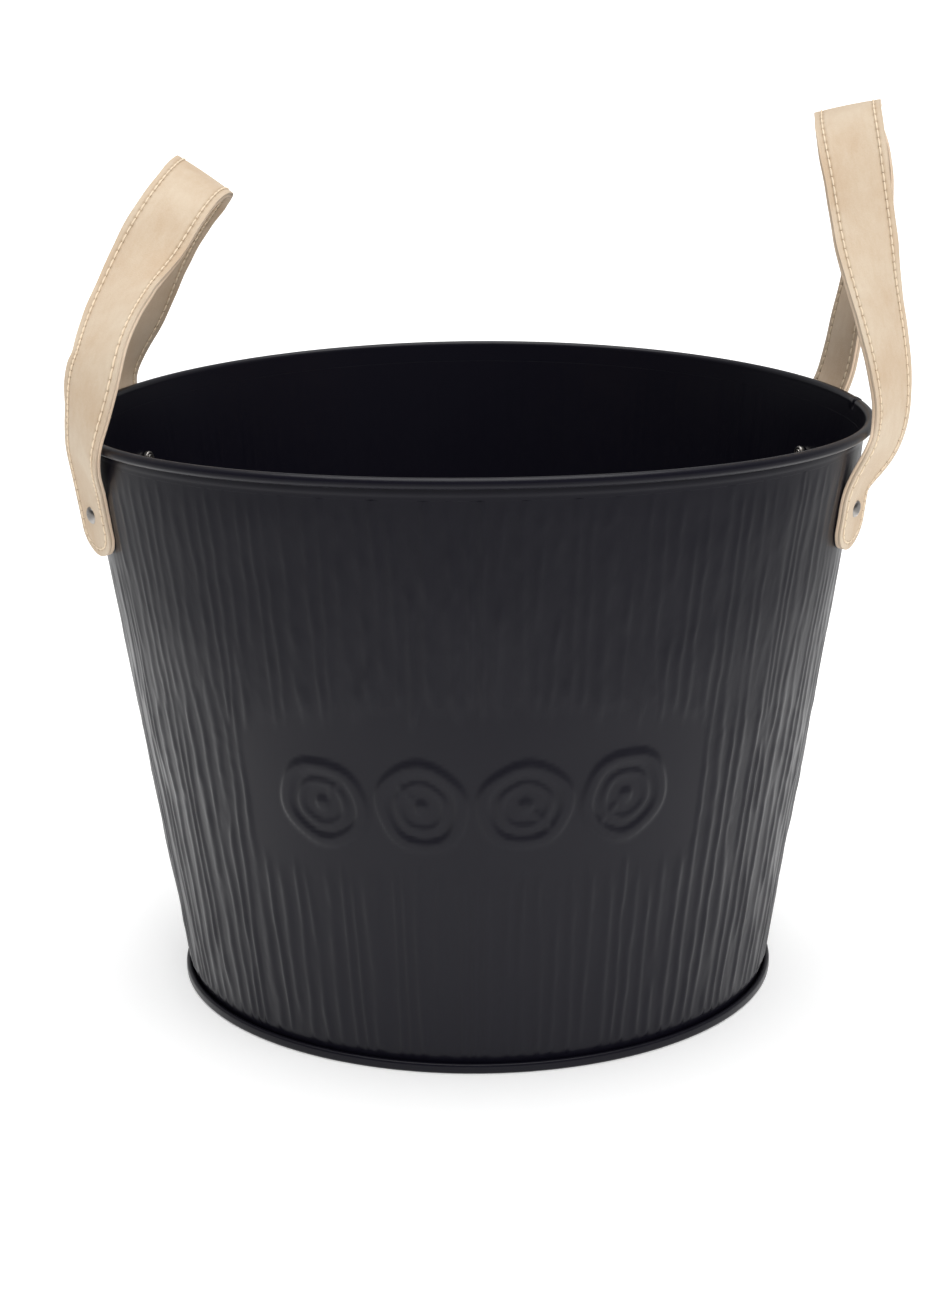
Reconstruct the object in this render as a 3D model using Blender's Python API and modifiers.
"""Log bucket: a round painted steel bucket with two riveted suede strap handles.

Metres, +Z up. The origin is the centre of the base plate's underside, on the bucket's axis.
The plain front faces -Y and the handles stand at -X (left) and +X (right).
"""
import math

import bpy
import numpy as np
from mathutils import Matrix, Vector

# Bucket body
RIM_RADIUS = 0.185
BUCKET_HEIGHT = 0.273
BASE_RADIUS = 0.1395
SHEET = 0.0007
FIT_GAP = 0.0003

# Rolled rim and the shallow swage below it
WIRE_RADIUS = 0.0014
SWAGE_DEPTH = 0.0008
SWAGE_HEIGHT = 0.0032
SWAGE_DROP = 0.0005
CURL_END_DEGREES = -100.0

# Base seam, folded twice and knocked up against the wall
SEAM_HEIGHT = 0.0046
SEAM_CLEARANCE = 0.0006

# Strap handles: a suede layer and a lining, cut alike
STRAP_WIDTH = 0.030
SUEDE = 0.0014
LINING = 0.0014
LEFT_RISE = 0.1055
RIGHT_RISE = 0.133
BEND_LENGTH = 0.048
HINGE_RISE = 0.007

# Riveted tabs at the strap's ends
FRONT_TAB_ANGLE_DEGREES = 19.0
REAR_TAB_ANGLE_DEGREES = 22.3
LEFT_TAB_TURN_DEGREES = 11.5
RIGHT_TAB_TURN_DEGREES = 8.0
TAB_ABOVE_RIVET = 0.0065
TAB_BELOW_RIVET = 0.019
TAB_TIP_LENGTH = 0.012

# Tubular rivets, each closed by a collar inside the bucket
RIVET_DROP = 0.0375
SHANK_RADIUS = 0.0020
SHANK_BORE_RADIUS = 0.0012
SHANK_BORE_DEPTH = 0.0040
SHANK_STAND_OUT = 0.0003
HEAD_RADIUS = 0.0040
HEAD_HEIGHT = 0.0018
COLLAR_RADIUS = 0.0036
COLLAR_HEIGHT = 0.0024
COLLAR_ROUND = 0.0008

# Stitching along both edges of the strap
THREAD_RADIUS = 0.0003
STITCH_INSET = 0.0028

# Facet counts
TURN_STEPS = 60
SMALL_STEPS = 16
ARC_STEPS = 4
CURL_STEPS = 9
TIP_STEPS = 12
LOOP_STATIONS = 44
BEND_STATIONS = 9
ACROSS_STATIONS = 3
WIRE_SIDES = 6

# Each handle's route above its tabs, from the front leg over the top to the rear leg. A row holds
# reach (share of the rim's radius), span (share of the tabs' distance from the middle plane), rise
# (share of the handle's rise over the rim), then the strap's turn from the front plane in degrees
# and its tilt, both describing which way its width lies.
LEFT_ROUTE_SHARES = (
    (0.915, -1.28, 0.04, 30, -0.01),
    (0.866, -1.45, 0.35, 60, -0.29),
    (0.819, -0.93, 0.59, 71, -0.08),
    (0.771, -0.69, 0.74, 89, -0.02),
    (0.709, -0.50, 0.91, 90, 0.18),
    (0.672, -0.26, 0.99, 91, 0.42),
    (0.660, 0.00, 1.00, 90, 0.68),
    (0.666, 0.25, 0.975, 95, 0.67),
    (0.691, 0.51, 0.915, 105, 0.64),
    (0.751, 0.73, 0.77, 118, 0.57),
    (0.816, 0.87, 0.56, 132, 0.48),
    (0.878, 1.00, 0.30, 144, 0.36),
    (0.943, 1.06, 0.01, 154, 0.17),
)
RIGHT_ROUTE_SHARES = (
    (0.987, -0.77, -0.08, 34, -0.10),
    (0.994, -0.75, 0.21, 43, 0.32),
    (0.948, -0.74, 0.49, 55, 0.45),
    (0.927, -0.63, 0.68, 67, 0.51),
    (0.909, -0.49, 0.87, 73, 0.44),
    (0.906, -0.27, 0.98, 83, 0.34),
    (0.918, 0.00, 1.00, 90, 0.17),
    (0.935, 0.25, 0.94, 105, 0.20),
    (0.970, 0.49, 0.85, 123, 0.22),
    (1.005, 0.70, 0.69, 140, 0.22),
    (1.018, 0.85, 0.49, 154, 0.19),
    (0.988, 0.95, 0.255, 161, 0.14),
    (0.956, 1.01, 0.01, 157, 0.05),
)
HANDLES = (
    ("left", LEFT_RISE, LEFT_ROUTE_SHARES),
    ("right", RIGHT_RISE, RIGHT_ROUTE_SHARES),
)

# Worked out from the sizes above
CURL_MIDDLE = WIRE_RADIUS + FIT_GAP + SHEET / 2
CURL_OUTER = CURL_MIDDLE + SHEET / 2
BEAD_CENTRE_RADIUS = RIM_RADIUS - CURL_OUTER
BEAD_CENTRE_HEIGHT = BUCKET_HEIGHT - CURL_OUTER
NECK_RADIUS = BEAD_CENTRE_RADIUS - CURL_MIDDLE
SWAGE_TOP = BEAD_CENTRE_HEIGHT - CURL_OUTER - SWAGE_DROP
SWAGE_BOTTOM = SWAGE_TOP - SWAGE_HEIGHT
TAPER_START = SEAM_HEIGHT + SEAM_CLEARANCE
WALL_MIDDLE_BASE = BASE_RADIUS - SHEET / 2
WALL_SLOPE = (NECK_RADIUS - WALL_MIDDLE_BASE) / (BEAD_CENTRE_HEIGHT - TAPER_START)
WALL_LEAN = math.atan(WALL_SLOPE)
RIVET_HEIGHT = BUCKET_HEIGHT - RIVET_DROP
SHANK_HOLE_RADIUS = SHANK_RADIUS + FIT_GAP
CUT_OVERRUN = 4 * SHEET


def wall_middle_radius(height):
    """Radius of the sheet's middle surface on the straight taper."""
    return WALL_MIDDLE_BASE + WALL_SLOPE * (height - TAPER_START)


def new_collection(name):
    """A collection linked to the scene."""
    collection = bpy.data.collections.new(name)
    bpy.context.scene.collection.children.link(collection)
    return collection


def principled(name, colour, roughness, metallic):
    """A material with one Principled BSDF."""
    material = bpy.data.materials.new(name)
    material.use_nodes = True
    shader = material.node_tree.nodes["Principled BSDF"]
    shader.inputs["Base Color"].default_value = (*colour, 1.0)
    shader.inputs["Roughness"].default_value = roughness
    shader.inputs["Metallic"].default_value = metallic
    return material


def add_object(name, data, collection, material=None):
    """An object holding the data, in the collection, with its material."""
    if material is not None:
        data.materials.append(material)
    thing = bpy.data.objects.new(name, data)
    collection.objects.link(thing)
    return thing


def line_mesh(name, points, closed=False):
    """A mesh of edges through the points, ready for a Screw modifier."""
    mesh = bpy.data.meshes.new(name)
    edges = [(k, k + 1) for k in range(len(points) - 1)]
    if closed:
        edges.append((len(points) - 1, 0))
    mesh.from_pydata([(radius, 0.0, height) for radius, height in points], edges, [])
    return mesh


def turn(thing, steps):
    """Spins an object's profile a full turn about its Z axis."""
    screw = thing.modifiers.new("turn", "SCREW")
    screw.axis = "Z"
    screw.steps = steps
    screw.render_steps = steps
    screw.use_merge_vertices = True
    screw.merge_threshold = 0.0001
    screw.use_smooth_shade = True
    return thing


def thicken(thing, thickness, offset):
    """Gives an open sheet its thickness."""
    solidify = thing.modifiers.new("thickness", "SOLIDIFY")
    solidify.thickness = thickness
    solidify.offset = offset
    solidify.use_even_offset = True
    return thing


def arc(centre, radius, start_degrees, end_degrees, steps):
    """Points on a circular arc in the profile plane, both ends included."""
    angles = np.radians(np.linspace(start_degrees, end_degrees, steps + 1))
    return [(centre[0] + radius * math.cos(a), centre[1] + radius * math.sin(a)) for a in angles]


# Side wall, rim wire and base plate


def wall_profile():
    """Middle line of the wall's sheet: rim curl, neck, swage, taper, foot and upturned flange."""
    curl = arc((BEAD_CENTRE_RADIUS, BEAD_CENTRE_HEIGHT), CURL_MIDDLE, CURL_END_DEGREES, 180.0, CURL_STEPS)
    swage = []
    for share, bulge in ((1.0, 0.0), (0.75, 0.8), (0.25, 0.8), (0.0, 0.0)):
        height = SWAGE_BOTTOM + share * SWAGE_HEIGHT
        swage.append((wall_middle_radius(height) + bulge * SWAGE_DEPTH, height))
    foot_height = SHEET + FIT_GAP + SHEET / 2
    layer_step = SHEET + FIT_GAP
    flange_radius = WALL_MIDDLE_BASE + 2 * layer_step
    foot = arc((WALL_MIDDLE_BASE + SHEET, foot_height + SHEET), SHEET, 180.0, 270.0, ARC_STEPS // 2)
    lip = arc((flange_radius - SHEET / 2, foot_height + SHEET / 2), SHEET / 2, 270.0, 360.0, ARC_STEPS // 2)
    flange_tip = (flange_radius, SEAM_HEIGHT - SHEET / 2 - layer_step)
    return [*curl, *swage, (WALL_MIDDLE_BASE, TAPER_START), *foot, *lip, flange_tip]


def base_profile():
    """Middle line of the base plate: flat disc, upturned edge, fold and the return behind the flange."""
    layer_step = SHEET + FIT_GAP
    return_radius = WALL_MIDDLE_BASE + layer_step
    edge_radius = WALL_MIDDLE_BASE + 3 * layer_step
    corner = arc((edge_radius - SHEET, SHEET / 2 + SHEET), SHEET, 270.0, 360.0, ARC_STEPS // 2)
    fold_height = SEAM_HEIGHT - SHEET / 2 - layer_step
    fold = arc(((return_radius + edge_radius) / 2, fold_height), layer_step, 0.0, 180.0, ARC_STEPS)
    return_end = (return_radius, SHEET + FIT_GAP + SHEET + FIT_GAP + SHEET / 2)
    return [(0.0, SHEET / 2), *corner, *fold, return_end]


def build_wall(collection, material):
    """The side wall: one sheet from the rim's curl to the flange in the base seam."""
    wall = add_object("side_wall", line_mesh("side_wall", wall_profile()), collection, material)
    return thicken(turn(wall, TURN_STEPS), SHEET, 0.0)


def build_base(collection, material):
    """The base plate, whose edge closes the seam over the wall's flange."""
    base = add_object("base_plate", line_mesh("base_plate", base_profile()), collection, material)
    return thicken(turn(base, TURN_STEPS), SHEET, 0.0)


def build_rim_wire(collection, material):
    """The wire that the rim is rolled round."""
    bpy.ops.mesh.primitive_torus_add(
        major_segments=TURN_STEPS,
        minor_segments=WIRE_SIDES,
        major_radius=BEAD_CENTRE_RADIUS,
        minor_radius=WIRE_RADIUS,
        location=(0.0, 0.0, BEAD_CENTRE_HEIGHT),
    )
    wire = bpy.context.object
    wire.name = "rim_wire"
    for home in list(wire.users_collection):
        home.objects.unlink(wire)
    collection.objects.link(wire)
    wire.data.materials.append(material)
    wire.data.shade_smooth()
    return wire


# Where each tab sits


def tab_turn(side, end):
    """How far a tab is turned about its own length, off the wall, in radians."""
    if end > 0:
        return 0.0
    return math.radians(LEFT_TAB_TURN_DEGREES if side < 0 else RIGHT_TAB_TURN_DEGREES)


def tab_frame(side, end):
    """Frame of a tab's middle surface at its rivet: X across, Y up the strap, Z out of the bucket.

    side is -1 for the left handle and 1 for the right, end is -1 for the front tab and 1 for the
    rear. A front tab is turned about its own length, so its far edge stands off the wall.
    """
    angle = math.radians(FRONT_TAB_ANGLE_DEGREES if end < 0 else REAR_TAB_ANGLE_DEGREES)
    turned = tab_turn(side, end)
    radial = Vector((side * math.cos(angle), end * math.sin(angle), 0.0))
    inward = Vector((side * math.sin(angle), -end * math.cos(angle), 0.0))
    upright = Vector((0.0, 0.0, 1.0))
    up = radial * math.sin(WALL_LEAN) + upright * math.cos(WALL_LEAN)
    normal = radial * math.cos(WALL_LEAN) - upright * math.sin(WALL_LEAN)
    across = inward * math.cos(turned) + normal * math.sin(turned)
    face = normal * math.cos(turned) - inward * math.sin(turned)
    half = STRAP_WIDTH / 2
    wall_radius = wall_middle_radius(RIVET_HEIGHT) + SHEET / 2
    lift = max(0.0, half * math.sin(turned) - half * half / (2 * wall_radius))
    on_wall = radial * wall_radius + upright * RIVET_HEIGHT
    centre = on_wall + normal * lift + face * (FIT_GAP + LINING + FIT_GAP / 2)
    if across.cross(up).dot(face) < 0:
        across = -across
    frame = Matrix((across, up, face)).transposed().to_4x4()
    frame.translation = centre
    return frame, lift


def tab_station(side, end, along):
    """A route row on a tab: place, turn and tilt of the strap there."""
    frame, _ = tab_frame(side, end)
    place = frame @ Vector((0.0, along, 0.0))
    width = frame.to_3x3() @ Vector((1.0, 0.0, 0.0))
    if width.y * end > 0:
        width = -width
    turned = math.degrees(math.atan2(side * width.x, width.y))
    return (*place, turned, width.z)


# The strap's route


def natural_spline(knots, values, at):
    """Cubic spline through the rows of values at the knots, free at its ends, read at the places."""
    steps = np.diff(knots)
    system = np.eye(len(knots))
    target = np.zeros_like(values)
    for k in range(1, len(knots) - 1):
        before, after = steps[k - 1], steps[k]
        system[k, k - 1:k + 2] = before, 2 * (before + after), after
        rise_after = (values[k + 1] - values[k]) / after
        rise_before = (values[k] - values[k - 1]) / before
        target[k] = 6 * (rise_after - rise_before)
    bends = np.linalg.solve(system, target)
    span = np.clip(np.searchsorted(knots, at) - 1, 0, len(knots) - 2)
    low = ((knots[span + 1] - at) / steps[span])[:, None]
    high = 1 - low
    weight = (steps[span] ** 2 / 6)[:, None]
    straight = low * values[span] + high * values[span + 1]
    return straight + weight * ((low ** 3 - low) * bends[span] + (high ** 3 - high) * bends[span + 1])


def route_rows(side, rise, shares):
    """All stations of a handle's route, with their distances along it."""
    spread = (wall_middle_radius(RIVET_HEIGHT) + SHEET / 2) * math.sin(math.radians(REAR_TAB_ANGLE_DEGREES))
    rows = [tab_station(side, -1, 0.0), tab_station(side, -1, TAB_ABOVE_RIVET)]
    for reach, span, lift, turned, tilt in shares:
        rows.append((
            side * reach * RIM_RADIUS,
            span * spread,
            BUCKET_HEIGHT + lift * rise,
            turned,
            tilt,
        ))
    rows += [tab_station(side, 1, TAB_ABOVE_RIVET), tab_station(side, 1, 0.0)]
    rows = np.array(rows)
    chords = np.linalg.norm(np.diff(rows[:, :3], axis=0), axis=1)
    return np.concatenate(([0.0], np.cumsum(chords))), rows


def strap_stations(side, knots, rows, at):
    """Middle points, widths and outward normals of the strap at places along its route."""
    tiny = FIT_GAP / 10
    here = natural_spline(knots, rows, at)
    ahead = natural_spline(knots, rows, at + tiny)
    middle = here[:, :3]
    along = ahead[:, :3] - middle
    along /= np.linalg.norm(along, axis=1)[:, None]
    turned = np.radians(here[:, 3])
    aim = np.stack((side * np.sin(turned), np.cos(turned), here[:, 4]), axis=1)
    width = aim - (aim * along).sum(axis=1)[:, None] * along
    width /= np.linalg.norm(width, axis=1)[:, None]
    normal = side * np.cross(width, along)
    return middle, width, normal


def seat_on_tab(stations, row, side, end):
    """Brings one end station of a bend square onto its tab's end."""
    frame, _ = tab_frame(side, end)
    middle, width, normal = stations
    middle[row] = frame @ Vector((0.0, TAB_ABOVE_RIVET + FIT_GAP / 2, 0.0))
    across = frame.to_3x3() @ Vector((1.0, 0.0, 0.0))
    width[row] = across if across.dot(Vector(width[row])) > 0 else -across
    normal[row] = frame.to_3x3() @ Vector((0.0, 0.0, 1.0))


def strap_places(knots):
    """Places along the route where the tabs end and where the loop starts and stops."""
    front_tab_end = knots[1]
    rear_tab_end = knots[-2]
    return front_tab_end, front_tab_end + BEND_LENGTH, rear_tab_end - BEND_LENGTH, rear_tab_end


# Pieces of the strap


def ribbon_mesh(name, middle, width, normal, shift):
    """An open sheet along the strap's stations, shifted off its middle surface."""
    across = np.linspace(-STRAP_WIDTH / 2, STRAP_WIDTH / 2, ACROSS_STATIONS)
    points = middle[:, None, :] + across[None, :, None] * width[:, None, :] + shift * normal[:, None, :]
    faces = []
    for row in range(len(middle) - 1):
        for column in range(ACROSS_STATIONS - 1):
            low = row * ACROSS_STATIONS + column
            high = low + ACROSS_STATIONS
            faces.append((low, low + 1, high + 1, high))
    mesh = bpy.data.meshes.new(name)
    mesh.from_pydata(points.reshape(-1, 3).tolist(), [], faces)
    mesh.shade_smooth()
    return mesh


def build_ribbon(name, stations, side, outer_layer, collection, material):
    """One layer of the strap along the stations: the suede outside or the lining inside."""
    middle, width, normal = stations
    sign = 1.0 if outer_layer else -1.0
    thickness = SUEDE if outer_layer else LINING
    mesh = ribbon_mesh(name, middle, width, normal, sign * FIT_GAP / 2)
    ribbon = add_object(name, mesh, collection, material)
    return thicken(ribbon, thickness, sign * side)


def tube(name, points, radius, collection, material):
    """A thin round thread through the points."""
    curve = bpy.data.curves.new(name, "CURVE")
    curve.dimensions = "3D"
    curve.bevel_depth = radius
    curve.bevel_resolution = 0
    curve.use_fill_caps = True
    spline = curve.splines.new("POLY")
    spline.points.add(len(points) - 1)
    for point, place in zip(spline.points, points):
        point.co = (*place, 1.0)
    return add_object(name, curve, collection, material)


def tab_outline(inset):
    """Outline of a tab from its upper corner round the tip to the other one, drawn in by the inset."""
    half = STRAP_WIDTH / 2 - inset
    straight_end = TAB_TIP_LENGTH - TAB_BELOW_RIVET
    tip = TAB_TIP_LENGTH - inset
    angles = np.linspace(0.0, -math.pi, TIP_STEPS + 1)
    round_end = [(half * math.cos(a), straight_end + tip * math.sin(a)) for a in angles]
    return [(half, TAB_ABOVE_RIVET - FIT_GAP / 2), *round_end, (-half, TAB_ABOVE_RIVET - FIT_GAP / 2)]


def add_loop(curve, points):
    """Adds a closed flat loop to a 2D curve."""
    spline = curve.splines.new("POLY")
    spline.points.add(len(points) - 1)
    for point, (x, y) in zip(spline.points, points):
        point.co = (x, y, 0.0, 1.0)
    spline.use_cyclic_u = True


def build_tab(name, frame, outer_layer, collection, material):
    """One layer of a tab: a flat tongue with a hole for its rivet."""
    thickness = SUEDE if outer_layer else LINING
    shift = (FIT_GAP + thickness) / 2 * (1.0 if outer_layer else -1.0)
    curve = bpy.data.curves.new(name, "CURVE")
    curve.dimensions = "2D"
    curve.fill_mode = "BOTH"
    curve.extrude = thickness / 2
    add_loop(curve, tab_outline(0.0))
    hole = np.linspace(0.0, 2 * math.pi, SMALL_STEPS + 1)[:-1]
    add_loop(curve, [(SHANK_HOLE_RADIUS * math.cos(a), SHANK_HOLE_RADIUS * math.sin(a)) for a in hole])
    tab = add_object(name, curve, collection, material)
    tab.matrix_world = frame @ Matrix.Translation((0.0, 0.0, shift))
    return tab


def build_tab_thread(name, frame, collection, material):
    """The stitching that runs round a tab."""
    height = FIT_GAP / 2 + SUEDE + FIT_GAP + THREAD_RADIUS
    points = [(x, y, height) for x, y in tab_outline(STITCH_INSET)]
    thread = tube(name, points, THREAD_RADIUS, collection, material)
    thread.matrix_world = frame
    return thread


# Rivets


def head_profile(top, rim_radius, base, height):
    """Domed head from its top on the axis to its rim."""
    shares = np.linspace(0.0, 1.0, ARC_STEPS + 1)
    return [(rim_radius * math.sin(s * math.pi / 2), base + height * math.cos(s * math.pi / 2)) for s in shares[top:]]


def build_rivet(name, frame, lift, turned, collection, material):
    """A domed rivet through strap and wall, with a hollow inner end, and its collar."""
    under_head = FIT_GAP / 2 + SUEDE + FIT_GAP
    wall_inside = -(FIT_GAP / 2 + LINING + FIT_GAP + (lift + SHEET) / math.cos(turned))
    collar_top = wall_inside - FIT_GAP - COLLAR_RADIUS * math.sin(turned)
    shank_end = collar_top - COLLAR_HEIGHT - SHANK_STAND_OUT
    profile = [
        *head_profile(0, HEAD_RADIUS, under_head, HEAD_HEIGHT),
        (SHANK_RADIUS, under_head),
        (SHANK_RADIUS, shank_end),
        (SHANK_BORE_RADIUS, shank_end),
        (SHANK_BORE_RADIUS, shank_end + SHANK_BORE_DEPTH),
        (0.0, shank_end + SHANK_BORE_DEPTH),
    ]
    rivet = turn(add_object(name, line_mesh(name, profile), collection, material), SMALL_STEPS)
    rivet.matrix_world = frame
    inner = SHANK_RADIUS + FIT_GAP
    round_centre = (COLLAR_RADIUS - COLLAR_ROUND, collar_top - COLLAR_HEIGHT + COLLAR_ROUND)
    ring = [
        (inner, collar_top),
        (COLLAR_RADIUS, collar_top),
        *arc(round_centre, COLLAR_ROUND, 0.0, -90.0, ARC_STEPS // 2),
        (inner, collar_top - COLLAR_HEIGHT),
    ]
    collar_name = name + "_collar"
    collar = add_object(collar_name, line_mesh(collar_name, ring, closed=True), collection, material)
    turn(collar, SMALL_STEPS).matrix_world = frame
    return rivet


def cut_rivet_hole(wall, name, frame, cutters):
    """Bores the wall for a rivet's shank."""
    depth = 2 * (LINING + CUT_OVERRUN + STRAP_WIDTH / 4)
    bpy.ops.mesh.primitive_cylinder_add(vertices=SMALL_STEPS, radius=SHANK_HOLE_RADIUS, depth=depth)
    cutter = bpy.context.object
    cutter.name = name
    for home in list(cutter.users_collection):
        home.objects.unlink(cutter)
    cutters.objects.link(cutter)
    cutter.matrix_world = frame
    cutter.hide_render = True
    cutter.display_type = "WIRE"
    boolean = wall.modifiers.new(name, "BOOLEAN")
    boolean.operation = "DIFFERENCE"
    boolean.object = cutter


# Whole handles


def add_pivot(name, side, knots, rows, collection):
    """An empty on the line, parallel to Y, about which a handle folds above the rim."""
    fine = natural_spline(knots, rows, np.linspace(0.0, knots[-1], 400))
    top = fine[:, 2].argmax()
    height = BUCKET_HEIGHT + HINGE_RISE
    front = np.interp(height, fine[:top, 2], fine[:top, 0])
    rear = np.interp(height, fine[:top:-1, 2], fine[:top:-1, 0])
    pivot = bpy.data.objects.new(name, None)
    pivot.empty_display_size = STRAP_WIDTH
    pivot.location = ((front + rear) / 2, 0.0, height)
    collection.objects.link(pivot)
    return pivot


def hang_on(pivot, thing):
    """Moves an object's origin to the pivot and parents it there."""
    thing.data.transform(Matrix.Translation(-pivot.location))
    thing.parent = pivot
    return thing


def build_handle(label, rise, shares, wall, collections, materials):
    """A whole handle: tabs, bends and loop of both layers, stitching and rivets."""
    parts, cutters = collections
    side = -1 if label == "left" else 1
    knots, rows = route_rows(side, rise, shares)
    pivot = add_pivot(f"{label}_handle_pivot", side, knots, rows, parts)
    front_end, loop_start, loop_stop, rear_end = strap_places(knots)
    gap = FIT_GAP / 2
    loop_at = np.linspace(loop_start + gap, loop_stop - gap, LOOP_STATIONS)
    loop = strap_stations(side, knots, rows, loop_at)
    front_at = np.linspace(front_end + gap, loop_start - gap, BEND_STATIONS)
    rear_at = np.linspace(loop_stop + gap, rear_end - gap, BEND_STATIONS)
    bends = {
        "front": strap_stations(side, knots, rows, front_at),
        "rear": strap_stations(side, knots, rows, rear_at),
    }
    seat_on_tab(bends["front"], 0, side, -1)
    seat_on_tab(bends["rear"], -1, side, 1)
    for layer, outer in (("suede", True), ("lining", False)):
        surface = materials[layer]
        hang_on(pivot, build_ribbon(f"{label}_loop_{layer}", loop, side, outer, parts, surface))
        for end_name, stations in bends.items():
            build_ribbon(f"{label}_{end_name}_bend_{layer}", stations, side, outer, parts, surface)
    middle, width, normal = loop
    height = FIT_GAP / 2 + SUEDE + FIT_GAP + THREAD_RADIUS
    for edge, sign in (("inner", -1.0), ("outer", 1.0)):
        row = middle + sign * (STRAP_WIDTH / 2 - STITCH_INSET) * width + height * normal
        name = f"{label}_loop_{edge}_stitching"
        hang_on(pivot, tube(name, row.tolist(), THREAD_RADIUS, parts, materials["thread"]))
    for end_name, end in (("front", -1), ("rear", 1)):
        frame, lift = tab_frame(side, end)
        stem = f"{label}_{end_name}"
        build_tab(f"{stem}_tab_suede", frame, True, parts, materials["suede"])
        build_tab(f"{stem}_tab_lining", frame, False, parts, materials["lining"])
        build_tab_thread(f"{stem}_tab_stitching", frame, parts, materials["thread"])
        build_rivet(f"{stem}_rivet", frame, lift, tab_turn(side, end), parts, materials["rivet"])
        cut_rivet_hole(wall, f"{stem}_rivet_hole", frame, cutters)


def build_materials():
    """The bucket's materials."""
    return {
        "paint": principled("black_paint", (0.016, 0.016, 0.019), 0.42, 0.0),
        "wire": principled("bright_wire", (0.45, 0.45, 0.46), 0.35, 1.0),
        "suede": principled("sand_suede", (0.66, 0.52, 0.37), 0.90, 0.0),
        "lining": principled("brown_lining", (0.30, 0.21, 0.14), 0.95, 0.0),
        "thread": principled("cream_thread", (0.76, 0.65, 0.50), 0.80, 0.0),
        "rivet": principled("rivet_steel", (0.42, 0.42, 0.43), 0.38, 1.0),
    }


def main():
    for thing in list(bpy.data.objects):
        bpy.data.objects.remove(thing, do_unlink=True)
    parts = new_collection("log_bucket")
    cutters = new_collection("log_bucket_cutters")
    materials = build_materials()
    wall = build_wall(parts, materials["paint"])
    build_base(parts, materials["paint"])
    build_rim_wire(parts, materials["wire"])
    for label, rise, shares in HANDLES:
        build_handle(label, rise, shares, wall, (parts, cutters), materials)


main()
